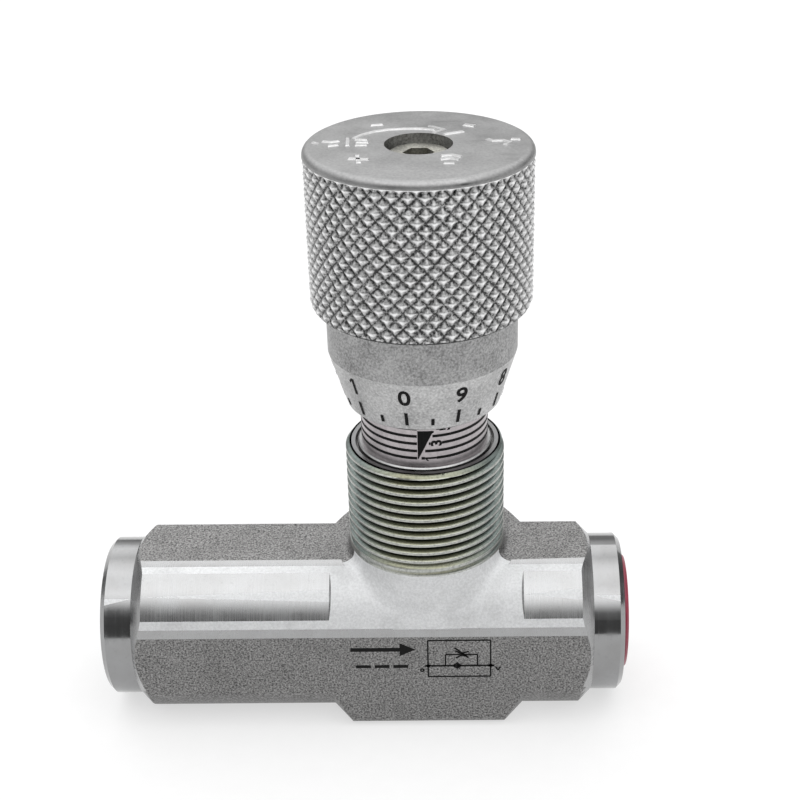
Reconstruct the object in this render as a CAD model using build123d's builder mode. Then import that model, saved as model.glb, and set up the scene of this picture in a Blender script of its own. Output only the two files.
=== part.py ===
"""Inline flow control valve: a screw-down throttle with a scaled knob, and a return check valve.

Millimetres. X runs along the ports, left port at -X, and Z runs up the spindle. The origin is on
the flat underside, under the spindle. Screw threads are plain cylinders at their crests, or at their
minor diameter in the ports.
"""
from build123d import *
from math import hypot, radians, tan
import os

os.makedirs("parts", exist_ok=True)

# ---------------------------------------------------------------- driving dimensions
PORT_Z = 13.5            # height of the port axis over the flat underside
LEFT_END = -52.5         # left port face
RIGHT_END = 31.8         # right port face

# forged body
HALF_FLAT = 13.5         # half the width across the flats
CORNER = 2.3             # radius of the square corners
RAW_CORNER = 9.0         # radius of the raw corner at the top front
TURNED_R = 15.0          # turned corners of the arms
BOSS_R = 13.0            # turned boss round each port
LEFT_BOSS = 5.0          # lengths of the bosses
RIGHT_BOSS = 5.0
HUB_HALF = 15.5          # half length of the hub, where its end cones start
HUB_TOP_HALF = 11.4      # half length of the hub beyond its cones
HUB_R = 19.2
EDGE = 0.8               # small turned chamfer

# neck
NECK_R = 12.5            # M25 x 1.5, at its crests
NECK_TOP = 46.9
NECK_EDGE = 0.6
ROOT_R = 12.3            # plain root under the thread
ROOT_TOP = 28.8

# ports and passages
PORT_R = 7.475           # G3/8 at its minor diameter
PORT_DEPTH = 12.0
PORT_CHAMFER = 0.9
CHECK_BORE_R = 6.75
CHECK_SEAT_X = -17.0
CHECK_SEAT_LENGTH = 5.0
CHECK_SEAT_R = 5.8
CHAMBER_R = 5.0
RING_GROOVE_X = -39.6
RING_GROOVE = 1.3
RING_GROOVE_R = 7.25
PASSAGE_R = 3.0
THROTTLE_SEAT_R = 5.0
THROTTLE_SEAT_Z = 21.0
THROTTLE_SEAT_TOP = 25.0
NEEDLE_CHAMBER_R = 6.0
BONNET_Z = 36.5
BONNET_R = 8.0
COUNTERBORE_R = 10.95
COUNTERBORE = 1.0
BYPASS_R = 1.75
BYPASS_FROM = (-34.0, 18.4)
BYPASS_TO = (-3.5, 27.7)

# gaps of the fits
STILL_GAP = 0.02         # threads, seats and seals that stay put
RUNNING_GAP = 0.05       # spindle in its bonnet
GUIDE_GAP = 0.08         # poppet in its bore

# bonnet and scale sleeve
BONNET_TOP = 62.5
BONNET_FLANGE_R = 10.5
FLANGE_TOP = 47.2
BONNET_SEAL_Z = 38.5
BONNET_SEAL_R = 6.6
BONNET_SEAL_WIDTH = 3.0
BONNET_UPPER_R = 7.0
SPINDLE_BORE_R = 4.0
SLEEVE_R = 9.9
SLEEVE_TOP = 62.1
SLOT_WIDTH = 2.4
SLOT_DEPTH = 1.6

# screw travel between shut and the setting shown
TURNS_OPEN = 4.98
PITCH = 1.25
SHUT_GAP = 0.05

# spindle
SPINDLE_R = SPINDLE_BORE_R - RUNNING_GAP
NEEDLE_R = 3.2
NEEDLE_TIP_R = 0.6
NEEDLE_ANGLE = 30.0
SHANK_R = 3.6
SHANK_Z = 70.5
SHANK_TOP = 86.3
STOP_Z = 32.6
STOP_THICKNESS = 1.2
STOP_GROOVE_R = 3.2
STOP_R = 5.2
SEAL_Z = 43.0
SEAL_WIDTH = 3.2
SEAL_GROOVE_R = 2.9
BACKUP_THICKNESS = 1.2

# knob
RIM_Z = 54.5
RIM_R = 11.9
CONE_TOP = 63.2
SKIRT_R = 14.5
KNURL_Z = 70.4
KNURL_R = 16.8
KNOB_TOP = 94.7
RIM_EDGE = 0.5
CAVITY_R = 10.2
RECESS_R = 4.95
RECESS_Z = 87.3

# screws in the knob
SCREW_R = 2.5
SCREW_HEAD_R = 4.7
SCREW_HEAD = 5.0
SCREW_LENGTH = 12.0
WASHER_THICKNESS = 1.1
WASHER_R = 4.5
WASHER_GAP = 0.2
HEX_FLATS = 4.0
HEX_DEPTH = 3.0
GRUB_R = 2.0
GRUB_Z = 76.5
GRUB_LENGTH = 8.0
GRUB_HEX = 2.0

# seats
ORIFICE_R = 2.5
ORIFICE_CHAMFER = 0.8
CHECK_HOLE_R = 4.0
CHECK_CHAMFER = 0.5

# poppet, spring, spring seat and its ring
NOSE_R = 5.0
NOSE_TIP_R = 2.2
SKIRT_X = -20.5
POPPET_END = -25.0
HOLLOW_R = 3.9
HOLLOW_X = -17.8
POPPET_PORT_R = 1.1
SPRING_SEAT_X = -38.3
SPRING_SEAT_THICKNESS = 2.1
SPRING_SEAT_HUB = 1.6
HUB_GAP = 0.3            # between the spring's coils and the seat's hub
FLOW_HOLE_R = 1.25
FLOW_HOLES = 6
SPRING_R = 3.2
WIRE_R = 0.4
SPRING_TURNS = 7.5
CLIP_WIDTH = 1.9
CLIP_SLACK = 0.1         # the ring is this much thinner than its groove
CLIP_OPENING = 3.0
CLIP_HOLE_R = 0.5
CLIP_HOLES = ((-2.9, -5.4), (2.9, -5.4))

# transport plug
PLUG_FLANGE_R = 9.6
PLUG_FLANGE = 0.9
PLUG_R = 7.35
PLUG_DEPTH = 9.0
PLUG_WALL = 1.3
RIB_RECESS = 1.5         # the grip rib stops this far under the flange

PORT_FRAME = Plane(origin=(0, 0, PORT_Z), x_dir=(0, 1, 0), z_dir=(1, 0, 0))
PORT_AXIS = Axis((0, 0, PORT_Z), (1, 0, 0))
ALONG_PORTS = Plane(origin=(0, 0, PORT_Z), x_dir=(1, 0, 0), z_dir=(0, -1, 0))


def spin(points, mode=Mode.ADD):
    """Revolve a closed outline of (radius, height) points about the spindle."""
    with BuildSketch(Plane.XZ) as outline:
        with BuildLine():
            Polyline(*points, close=True)
        make_face()
    revolve(outline.sketch, Axis.Z, mode=mode)


def spin_x(points, mode=Mode.ADD):
    """Revolve a closed outline of (x, radius) points about the port axis."""
    with BuildSketch(ALONG_PORTS) as outline:
        with BuildLine():
            Polyline(*points, close=True)
        make_face()
    revolve(outline.sketch, PORT_AXIS, mode=mode)


def tube(inner, outer, low, high):
    """Plain ring about the spindle."""
    spin([(inner, low), (outer, low), (outer, high), (inner, high)])


def seal(inner, outer, low, width):
    """Revolve an O-ring that fills the groove between two radii, from height low."""
    section = min(outer - inner, width) / 2
    with BuildSketch(Plane.XZ) as outline:
        with Locations(((inner + outer) / 2, low + section)):
            Circle(section)
    revolve(outline.sketch, Axis.Z)


def save(part, name):
    part.label = name
    export_step(part, f"parts/{name}.step")


# ---------------------------------------------------------------- body
with BuildPart() as body:
    # square bar with one large raw corner at the top front
    with BuildSketch(PORT_FRAME.offset(LEFT_END)):
        Rectangle(2 * HALF_FLAT, 2 * HALF_FLAT)
    extrude(amount=RIGHT_END - LEFT_END)
    bar_edges = body.edges().filter_by(Axis.X)
    raw_edges = [edge for edge in bar_edges if edge.center().Y < 0 and edge.center().Z > PORT_Z]
    square_edges = [edge for edge in bar_edges if edge not in raw_edges]
    fillet(square_edges, CORNER)
    raw_edges = [
        edge
        for edge in body.edges().filter_by(Axis.X)
        if edge.center().Y < CORNER - HALF_FLAT and edge.center().Z > PORT_Z + HALF_FLAT - CORNER
    ]
    fillet(raw_edges, RAW_CORNER)
    # bosses, end cones, turned arms and the hub's cones
    left_cone = LEFT_END + LEFT_BOSS
    right_cone = RIGHT_END - RIGHT_BOSS
    rise = TURNED_R - BOSS_R
    spin_x(
        [
            (LEFT_END, 0),
            (LEFT_END, BOSS_R - EDGE),
            (LEFT_END + EDGE, BOSS_R),
            (left_cone, BOSS_R),
            (left_cone + rise, TURNED_R),
            (-HUB_HALF, TURNED_R),
            (-HUB_TOP_HALF, HUB_R),
            (HUB_TOP_HALF, HUB_R),
            (HUB_HALF, TURNED_R),
            (right_cone - rise, TURNED_R),
            (right_cone, BOSS_R),
            (RIGHT_END - EDGE, BOSS_R),
            (RIGHT_END, BOSS_R - EDGE),
            (RIGHT_END, 0),
        ],
        Mode.INTERSECT,
    )
    # neck
    spin(
        [
            (0, PORT_Z),
            (ROOT_R, PORT_Z),
            (ROOT_R, ROOT_TOP),
            (NECK_R, ROOT_TOP + NECK_R - ROOT_R),
            (NECK_R, NECK_TOP - NECK_EDGE),
            (NECK_R - NECK_EDGE, NECK_TOP),
            (0, NECK_TOP),
        ]
    )
    # ports, check bore and chamber
    left_port = LEFT_END + PORT_DEPTH
    right_port = RIGHT_END - PORT_DEPTH
    spin_x(
        [
            (LEFT_END, 0),
            (LEFT_END, PORT_R + PORT_CHAMFER),
            (LEFT_END + PORT_CHAMFER, PORT_R),
            (left_port, PORT_R),
            (left_port, CHECK_BORE_R),
            (RING_GROOVE_X, CHECK_BORE_R),
            (RING_GROOVE_X, RING_GROOVE_R),
            (RING_GROOVE_X + RING_GROOVE, RING_GROOVE_R),
            (RING_GROOVE_X + RING_GROOVE, CHECK_BORE_R),
            (CHECK_SEAT_X, CHECK_BORE_R),
            (CHECK_SEAT_X, CHECK_SEAT_R),
            (CHECK_SEAT_X + CHECK_SEAT_LENGTH, CHECK_SEAT_R),
            (CHECK_SEAT_X + CHECK_SEAT_LENGTH, CHAMBER_R),
            (right_port, CHAMBER_R),
            (right_port, PORT_R),
            (RIGHT_END - PORT_CHAMFER, PORT_R),
            (RIGHT_END, PORT_R + PORT_CHAMFER),
            (RIGHT_END, 0),
        ],
        Mode.SUBTRACT,
    )
    # throttle passage, seat pocket, needle chamber and bonnet thread
    spin(
        [
            (0, PORT_Z),
            (PASSAGE_R, PORT_Z),
            (PASSAGE_R, THROTTLE_SEAT_Z),
            (THROTTLE_SEAT_R, THROTTLE_SEAT_Z),
            (THROTTLE_SEAT_R, THROTTLE_SEAT_TOP),
            (NEEDLE_CHAMBER_R, THROTTLE_SEAT_TOP),
            (NEEDLE_CHAMBER_R, BONNET_Z),
            (BONNET_R, BONNET_Z),
            (BONNET_R, NECK_TOP - COUNTERBORE),
            (COUNTERBORE_R, NECK_TOP - COUNTERBORE),
            (COUNTERBORE_R, NECK_TOP),
            (0, NECK_TOP),
        ],
        Mode.SUBTRACT,
    )
    # bypass drilled from the left bore up to the needle chamber
    run_x = BYPASS_TO[0] - BYPASS_FROM[0]
    run_z = BYPASS_TO[1] - BYPASS_FROM[1]
    with BuildSketch(Plane((BYPASS_FROM[0], 0, BYPASS_FROM[1]), (0, 1, 0), (run_x, 0, run_z))):
        Circle(BYPASS_R)
    extrude(amount=hypot(run_x, run_z), mode=Mode.SUBTRACT)
save(body.part, "body")

with BuildPart() as throttle_seat:
    spin(
        [
            (ORIFICE_R, THROTTLE_SEAT_Z),
            (THROTTLE_SEAT_R - STILL_GAP, THROTTLE_SEAT_Z),
            (THROTTLE_SEAT_R - STILL_GAP, THROTTLE_SEAT_TOP),
            (ORIFICE_R + ORIFICE_CHAMFER, THROTTLE_SEAT_TOP),
            (ORIFICE_R, THROTTLE_SEAT_TOP - ORIFICE_CHAMFER),
        ]
    )
save(throttle_seat.part, "throttle_seat")

# ---------------------------------------------------------------- bonnet and scale
with BuildPart() as bonnet:
    outer = BONNET_R - STILL_GAP
    spin(
        [
            (SPINDLE_BORE_R, BONNET_Z + EDGE),
            (SPINDLE_BORE_R + EDGE, BONNET_Z),
            (outer, BONNET_Z),
            (outer, BONNET_SEAL_Z),
            (BONNET_SEAL_R, BONNET_SEAL_Z),
            (BONNET_SEAL_R, BONNET_SEAL_Z + BONNET_SEAL_WIDTH),
            (outer, BONNET_SEAL_Z + BONNET_SEAL_WIDTH),
            (outer, NECK_TOP - COUNTERBORE),
            (BONNET_FLANGE_R, NECK_TOP - COUNTERBORE),
            (BONNET_FLANGE_R, FLANGE_TOP - EDGE / 4),
            (BONNET_FLANGE_R - EDGE / 4, FLANGE_TOP),
            (BONNET_UPPER_R, FLANGE_TOP),
            (BONNET_UPPER_R, BONNET_TOP - EDGE),
            (BONNET_UPPER_R - EDGE, BONNET_TOP),
            (SPINDLE_BORE_R, BONNET_TOP),
        ]
    )
    # driver slot across the top
    with BuildSketch(Plane.XY.offset(BONNET_TOP)):
        Rectangle(2 * BONNET_R, SLOT_WIDTH)
    extrude(amount=-SLOT_DEPTH, mode=Mode.SUBTRACT)
save(bonnet.part, "bonnet")

with BuildPart() as bonnet_oring:
    seal(BONNET_SEAL_R + STILL_GAP, BONNET_R - STILL_GAP, BONNET_SEAL_Z + STILL_GAP, BONNET_SEAL_WIDTH)
save(bonnet_oring.part, "bonnet_oring")

with BuildPart() as bonnet_backup_ring:
    backup_top = BONNET_SEAL_Z + BONNET_SEAL_WIDTH
    tube(BONNET_SEAL_R + STILL_GAP, BONNET_R - STILL_GAP, backup_top - BACKUP_THICKNESS, backup_top)
save(bonnet_backup_ring.part, "bonnet_backup_ring")

with BuildPart() as scale_sleeve:
    spin(
        [
            (BONNET_UPPER_R + STILL_GAP, FLANGE_TOP),
            (SLEEVE_R, FLANGE_TOP),
            (SLEEVE_R, SLEEVE_TOP - EDGE / 2),
            (SLEEVE_R - EDGE / 2, SLEEVE_TOP),
            (BONNET_UPPER_R + STILL_GAP, SLEEVE_TOP),
        ]
    )
save(scale_sleeve.part, "scale_sleeve")

# ---------------------------------------------------------------- spindle, at the setting shown
opened = TURNS_OPEN * PITCH + SHUT_GAP
taper = tan(radians(NEEDLE_ANGLE))
seat_line = THROTTLE_SEAT_TOP - ORIFICE_CHAMFER + opened
tip_z = seat_line - (ORIFICE_R - NEEDLE_TIP_R) / taper
needle_z = seat_line + (NEEDLE_R - ORIFICE_R) / taper
with BuildPart() as spindle:
    spin(
        [
            (0, tip_z),
            (NEEDLE_TIP_R, tip_z),
            (NEEDLE_R, needle_z),
            (STOP_GROOVE_R, STOP_Z + STOP_THICKNESS),
            (SPINDLE_R, STOP_Z + STOP_THICKNESS),
            (SPINDLE_R, SEAL_Z),
            (SEAL_GROOVE_R, SEAL_Z),
            (SEAL_GROOVE_R, SEAL_Z + SEAL_WIDTH),
            (SPINDLE_R, SEAL_Z + SEAL_WIDTH),
            (SPINDLE_R, SHANK_Z),
            (SHANK_R, SHANK_Z),
            (SHANK_R, SHANK_TOP - EDGE / 2),
            (SHANK_R - EDGE / 2, SHANK_TOP),
            (0, SHANK_TOP),
        ]
    )
    # tapped hole for the knob screw
    with BuildSketch(Plane.XY.offset(SHANK_TOP)):
        Circle(SCREW_R + STILL_GAP)
    extrude(amount=-SCREW_LENGTH, mode=Mode.SUBTRACT)
save(spindle.part, "spindle")

with BuildPart() as spindle_stop_ring:
    tube(STOP_GROOVE_R + STILL_GAP, STOP_R, STOP_Z, STOP_Z + STOP_THICKNESS)
save(spindle_stop_ring.part, "spindle_stop_ring")

with BuildPart() as spindle_oring:
    seal(SEAL_GROOVE_R + STILL_GAP, SPINDLE_BORE_R - STILL_GAP, SEAL_Z + STILL_GAP, SEAL_WIDTH)
save(spindle_oring.part, "spindle_oring")

with BuildPart() as spindle_backup_ring:
    backup_top = SEAL_Z + SEAL_WIDTH
    tube(SEAL_GROOVE_R + STILL_GAP, SPINDLE_BORE_R - STILL_GAP, backup_top - BACKUP_THICKNESS, backup_top)
save(spindle_backup_ring.part, "spindle_backup_ring")

# ---------------------------------------------------------------- knob and its screws
with BuildPart() as knob:
    spin(
        [
            (CAVITY_R, RIM_Z),
            (RIM_R - EDGE / 4, RIM_Z),
            (RIM_R, RIM_Z + EDGE / 4),
            (SKIRT_R, CONE_TOP),
            (SKIRT_R, KNURL_Z),
            (KNURL_R - EDGE, KNURL_Z),
            (KNURL_R, KNURL_Z + EDGE),
            (KNURL_R, KNOB_TOP - RIM_EDGE),
            (KNURL_R - RIM_EDGE, KNOB_TOP),
            (RECESS_R, KNOB_TOP),
            (RECESS_R, RECESS_Z),
            (SHANK_R + STILL_GAP, RECESS_Z),
            (SHANK_R + STILL_GAP, SHANK_Z),
            (CAVITY_R, SHANK_Z),
        ]
    )
    # tapped hole for the locking screw, at the back
    with BuildSketch(Plane(origin=(0, SHANK_R, GRUB_Z), x_dir=(1, 0, 0), z_dir=(0, 1, 0))):
        Circle(GRUB_R)
    extrude(amount=KNURL_R, mode=Mode.SUBTRACT)
save(knob.part, "knob")

head_z = RECESS_Z + WASHER_THICKNESS
with BuildPart() as knob_screw:
    spin(
        [
            (0, head_z + SCREW_HEAD),
            (SCREW_HEAD_R - EDGE / 2, head_z + SCREW_HEAD),
            (SCREW_HEAD_R, head_z + SCREW_HEAD - EDGE / 2),
            (SCREW_HEAD_R, head_z),
            (SCREW_R, head_z),
            (SCREW_R, head_z - SCREW_LENGTH),
            (0, head_z - SCREW_LENGTH),
        ]
    )
    with BuildSketch(Plane.XY.offset(head_z + SCREW_HEAD)):
        RegularPolygon(HEX_FLATS / 2, 6, major_radius=False)
    extrude(amount=-HEX_DEPTH, mode=Mode.SUBTRACT)
save(knob_screw.part, "knob_screw")

with BuildPart() as knob_washer:
    tube(SCREW_R + WASHER_GAP, WASHER_R, RECESS_Z, head_z)
save(knob_washer.part, "knob_washer")

grub_start = SHANK_R + STILL_GAP
with BuildPart() as knob_grub_screw:
    with BuildSketch(Plane(origin=(0, grub_start, GRUB_Z), x_dir=(1, 0, 0), z_dir=(0, 1, 0))):
        Circle(GRUB_R - STILL_GAP)
    extrude(amount=GRUB_LENGTH)
    with BuildSketch(
        Plane(origin=(0, grub_start + GRUB_LENGTH, GRUB_Z), x_dir=(1, 0, 0), z_dir=(0, 1, 0))
    ):
        RegularPolygon(GRUB_HEX / 2, 6, major_radius=False)
    extrude(amount=-GRUB_HEX, mode=Mode.SUBTRACT)
save(knob_grub_screw.part, "knob_grub_screw")

# ---------------------------------------------------------------- check valve
with BuildPart() as check_seat:
    seat_end = CHECK_SEAT_X + CHECK_SEAT_LENGTH
    spin_x(
        [
            (CHECK_SEAT_X, CHECK_HOLE_R + CHECK_CHAMFER),
            (CHECK_SEAT_X, CHECK_SEAT_R - STILL_GAP),
            (seat_end, CHECK_SEAT_R - STILL_GAP),
            (seat_end, CHECK_HOLE_R),
            (CHECK_SEAT_X + CHECK_CHAMFER, CHECK_HOLE_R),
        ]
    )
save(check_seat.part, "check_seat")

with BuildPart() as check_poppet:
    line_x = CHECK_SEAT_X + CHECK_CHAMFER - SHUT_GAP
    guide_r = CHECK_BORE_R - GUIDE_GAP
    spin_x(
        [
            (line_x + CHECK_HOLE_R - NOSE_TIP_R, 0),
            (line_x + CHECK_HOLE_R - NOSE_TIP_R, NOSE_TIP_R),
            (line_x + CHECK_HOLE_R - NOSE_R, NOSE_R),
            (SKIRT_X, NOSE_R),
            (SKIRT_X, guide_r),
            (POPPET_END, guide_r),
            (POPPET_END, HOLLOW_R),
            (HOLLOW_X, HOLLOW_R),
            (HOLLOW_X, 0),
        ]
    )
    # cross holes that let the return flow into the hollow
    hole_x = (SKIRT_X + HOLLOW_X) / 2
    for cross in ((0, 1, 0), (0, 0, 1)):
        with BuildSketch(Plane(origin=(hole_x, 0, PORT_Z), x_dir=(1, 0, 0), z_dir=cross)):
            Circle(POPPET_PORT_R)
        extrude(amount=NOSE_R + 1, both=True, mode=Mode.SUBTRACT)
save(check_poppet.part, "check_poppet")

seat_face = SPRING_SEAT_X + SPRING_SEAT_THICKNESS
with BuildPart() as spring_seat:
    spin_x(
        [
            (SPRING_SEAT_X, 0),
            (SPRING_SEAT_X, CHECK_BORE_R - GUIDE_GAP),
            (seat_face, CHECK_BORE_R - GUIDE_GAP),
            (seat_face, SPRING_R - WIRE_R - HUB_GAP),
            (seat_face + SPRING_SEAT_HUB, SPRING_R - WIRE_R - 2 * HUB_GAP),
            (seat_face + SPRING_SEAT_HUB, 0),
        ]
    )
    flow_r = (SPRING_R + WIRE_R + CHECK_BORE_R) / 2
    with BuildSketch(PORT_FRAME.offset(SPRING_SEAT_X)):
        Circle(FLOW_HOLE_R)
        with PolarLocations(flow_r, FLOW_HOLES):
            Circle(FLOW_HOLE_R)
    extrude(amount=SPRING_SEAT_THICKNESS + SPRING_SEAT_HUB, mode=Mode.SUBTRACT)
save(spring_seat.part, "spring_seat")

with BuildPart() as retaining_ring:
    outer = RING_GROOVE_R - STILL_GAP
    spin_x(
        [
            (RING_GROOVE_X + CLIP_SLACK, outer - CLIP_WIDTH),
            (RING_GROOVE_X + CLIP_SLACK, outer),
            (SPRING_SEAT_X, outer),
            (SPRING_SEAT_X, outer - CLIP_WIDTH),
        ]
    )
    # gap and plier holes, at the bottom
    with BuildSketch(PORT_FRAME.offset(RING_GROOVE_X)):
        with Locations((0, -RING_GROOVE_R)):
            Rectangle(CLIP_OPENING, 2 * CLIP_WIDTH + 1)
        with Locations(*CLIP_HOLES):
            Circle(CLIP_HOLE_R)
    extrude(amount=RING_GROOVE, mode=Mode.SUBTRACT)
save(retaining_ring.part, "retaining_ring")

with BuildPart() as check_spring:
    spring_from = seat_face + WIRE_R
    spring_to = HOLLOW_X - WIRE_R
    length = spring_to - spring_from
    with BuildLine() as coil:
        Helix(length / SPRING_TURNS, length, SPRING_R, (spring_from, 0, PORT_Z), (1, 0, 0))
    with BuildSketch(Plane(origin=coil.line @ 0, z_dir=coil.line % 0)):
        Circle(WIRE_R)
    sweep(path=coil.line, is_frenet=True)
save(check_spring.part, "check_spring")

# ---------------------------------------------------------------- transport plug of the right port
with BuildPart() as port_plug:
    plug_end = RIGHT_END - PLUG_DEPTH
    flange_end = RIGHT_END + PLUG_FLANGE
    spin_x(
        [
            (plug_end, 0),
            (plug_end, PLUG_R - EDGE),
            (plug_end + EDGE, PLUG_R),
            (RIGHT_END, PLUG_R),
            (RIGHT_END, PLUG_FLANGE_R),
            (flange_end - EDGE / 2, PLUG_FLANGE_R),
            (flange_end, PLUG_FLANGE_R - EDGE / 2),
            (flange_end, PLUG_R - PLUG_WALL),
            (plug_end + PLUG_WALL, PLUG_R - PLUG_WALL),
            (plug_end + PLUG_WALL, 0),
        ]
    )
    # grip rib across the hollow
    with BuildSketch(PORT_FRAME.offset(plug_end + PLUG_WALL / 2)):
        Rectangle(2 * PLUG_R - PLUG_WALL, PLUG_WALL)
    extrude(amount=PLUG_DEPTH - RIB_RECESS)
save(port_plug.part, "port_plug")
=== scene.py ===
from math import atan2, cos, hypot, pi, radians, sin, sqrt

import bmesh
import bpy
from mathutils import Matrix, Vector


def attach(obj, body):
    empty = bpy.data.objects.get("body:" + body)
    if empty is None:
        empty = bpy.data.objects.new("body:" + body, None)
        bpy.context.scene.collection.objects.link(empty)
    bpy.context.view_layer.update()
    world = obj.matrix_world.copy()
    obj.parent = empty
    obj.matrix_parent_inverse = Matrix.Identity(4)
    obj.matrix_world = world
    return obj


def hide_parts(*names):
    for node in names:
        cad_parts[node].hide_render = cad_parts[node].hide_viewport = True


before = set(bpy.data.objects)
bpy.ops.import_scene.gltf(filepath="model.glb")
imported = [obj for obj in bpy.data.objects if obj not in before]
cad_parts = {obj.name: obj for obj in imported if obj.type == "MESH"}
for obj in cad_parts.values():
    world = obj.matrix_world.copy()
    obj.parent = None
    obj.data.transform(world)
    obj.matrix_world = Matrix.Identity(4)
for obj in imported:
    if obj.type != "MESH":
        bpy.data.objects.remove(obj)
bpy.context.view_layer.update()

MM = 0.001

# Sizes of the valve, in millimetres, as in the CAD model
PORT_Z = 13.5            # port axis over the underside
HALF_FLAT = 13.5
TURNED_R = 15.0
HUB_HALF = 15.5
CORNER = 2.3
RAW_CORNER = 9.0         # radius of the raw corner at the top front
CREASE = 6.1             # where its look starts, from the port axis
NECK_R = 12.5
NECK_TOP = 46.9
NECK_EDGE = 0.6
ROOT_TOP = 28.8
THREAD_DEPTH = 0.92
COUNTERBORE_R = 10.95
SLEEVE_R = 9.9
PITCH = 1.25             # scale rings, one per turn of the knob
RIM_Z = 54.5
RIM_R = 11.9
CONE_TOP = 63.2
SKIRT_R = 14.5
KNURL_Z = 70.4
KNURL_R = 16.8
KNURL_DEPTH = 0.6
KNOB_TOP = 94.7
KNOB_EDGE = 0.8
RIM_ROUND = 1.1          # rounding of the knob's top edge
RIM_STEPS = (0.0, 0.2, 0.4, 0.6, 0.8, 1.0)
GRUB_R = 2.0             # hole of the locking screw at the back of the knob
GRUB_Z = 76.5
RECESS_R = 4.95
PRINT = 0.035            # thickness of the printed marks


# ---------------------------------------------------------------- node helpers
class Nodes:
    """A node tree, with short calls to add and join its nodes."""

    def __init__(self, tree):
        self.tree = tree

    def new(self, kind, **settings):
        node = self.tree.nodes.new(kind)
        for name, value in settings.items():
            setattr(node, name, value)
        return node

    def join(self, a, b):
        self.tree.links.new(a, b)

    def put(self, value, socket):
        """Link a node's output, or set a plain value."""
        if isinstance(value, bpy.types.NodeSocket):
            self.join(value, socket)
        else:
            socket.default_value = value

    def math(self, kind, a, b=0.0, clamp=False):
        node = self.new("ShaderNodeMath", operation=kind, use_clamp=clamp)
        self.put(a, node.inputs[0])
        self.put(b, node.inputs[1])
        return node.outputs[0]

    def spread(self, value, low, high, start=0.0, end=1.0):
        """Map a value from start..end to low..high."""
        node = self.new("ShaderNodeMapRange")
        self.put(value, node.inputs["Value"])
        node.inputs["From Min"].default_value = start
        node.inputs["From Max"].default_value = end
        node.inputs["To Min"].default_value = low
        node.inputs["To Max"].default_value = high
        return node.outputs[0]

    def ramp(self, value, stops):
        node = self.new("ShaderNodeValToRGB")
        self.put(value, node.inputs[0])
        elements = node.color_ramp.elements
        while len(elements) < len(stops):
            elements.new(0.5)
        for element, (position, colour) in zip(elements, stops):
            element.position = position
            element.color = (*colour, 1.0)
        return node.outputs[0]

    def mix(self, factor, a, b, kind="MIX"):
        node = self.new("ShaderNodeMix", data_type="RGBA", blend_type=kind)
        self.put(factor, node.inputs[0])
        for value, socket in ((a, node.inputs[6]), (b, node.inputs[7])):
            if isinstance(value, tuple):
                value = (*value, 1.0)
            self.put(value, socket)
        return node.outputs[2]

    def split(self, vector):
        node = self.new("ShaderNodeSeparateXYZ")
        self.join(vector, node.inputs[0])
        return node.outputs


class Shader(Nodes):
    """The node tree of a new material, round one Principled shader."""

    def __init__(self, name):
        self.material = bpy.data.materials.new(name)
        self.material.use_nodes = True
        super().__init__(self.material.node_tree)
        self.tree.nodes.clear()
        self.bsdf = self.new("ShaderNodeBsdfPrincipled")
        self.join(self.bsdf.outputs[0], self.new("ShaderNodeOutputMaterial").inputs["Surface"])
        self.place = self.new("ShaderNodeTexCoord").outputs["Object"]

    def scaled(self, scale):
        """Object coordinates in units of 1/scale metres, one scale per axis."""
        node = self.new("ShaderNodeMapping")
        node.inputs["Scale"].default_value = scale
        self.join(self.place, node.inputs["Vector"])
        return node.outputs[0]

    def noise(self, scale, detail=3.0, rough=0.55, vector=None):
        node = self.new("ShaderNodeTexNoise")
        node.inputs["Scale"].default_value = scale
        node.inputs["Detail"].default_value = detail
        node.inputs["Roughness"].default_value = rough
        self.join(vector or self.place, node.inputs["Vector"])
        return node.outputs[0]

    def axis_distance(self):
        """Distance from the spindle's axis."""
        x, y, _ = self.split(self.place)
        squares = self.math("ADD", self.math("MULTIPLY", x, x), self.math("MULTIPLY", y, y))
        return self.math("SQRT", squares)

    def tinted(self, colour, factor):
        """A colour multiplied by a factor."""
        return self.mix(1.0, colour, self.ramp(factor, [(0.0, grey(0.0)), (1.0, grey(1.0))]), "MULTIPLY")

    def bump(self, height, distance, strength=1.0, normal=None):
        """A bump from a 0..1 height, distance in millimetres."""
        node = self.new("ShaderNodeBump")
        node.inputs["Strength"].default_value = strength
        node.inputs["Distance"].default_value = distance * MM
        self.join(height, node.inputs["Height"])
        if normal:
            self.join(normal, node.inputs["Normal"])
        return node.outputs[0]

    def scratches(self, along, across, count=0.62):
        """Fine scratches: 1 in a few thin streaks and 0 elsewhere."""
        streaks = self.noise(1.0, 2.0, 0.5, self.scaled((along, across, along)))
        return self.spread(streaks, 0.0, 1.0, count, count + 0.06)

    def finish(self, colour, metallic, rough, normal=None, extra=None):
        if isinstance(colour, tuple):
            colour = (*colour, 1.0)
        self.put(colour, self.bsdf.inputs["Base Color"])
        self.put(metallic, self.bsdf.inputs["Metallic"])
        self.put(rough, self.bsdf.inputs["Roughness"])
        if normal:
            self.join(normal, self.bsdf.inputs["Normal"])
        for name, value in (extra or {}).items():
            self.put(value, self.bsdf.inputs[name])
        return self.material


def grey(value, warmth=0.0):
    return (value * (1 + warmth), value, value * (1 - warmth))


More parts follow.
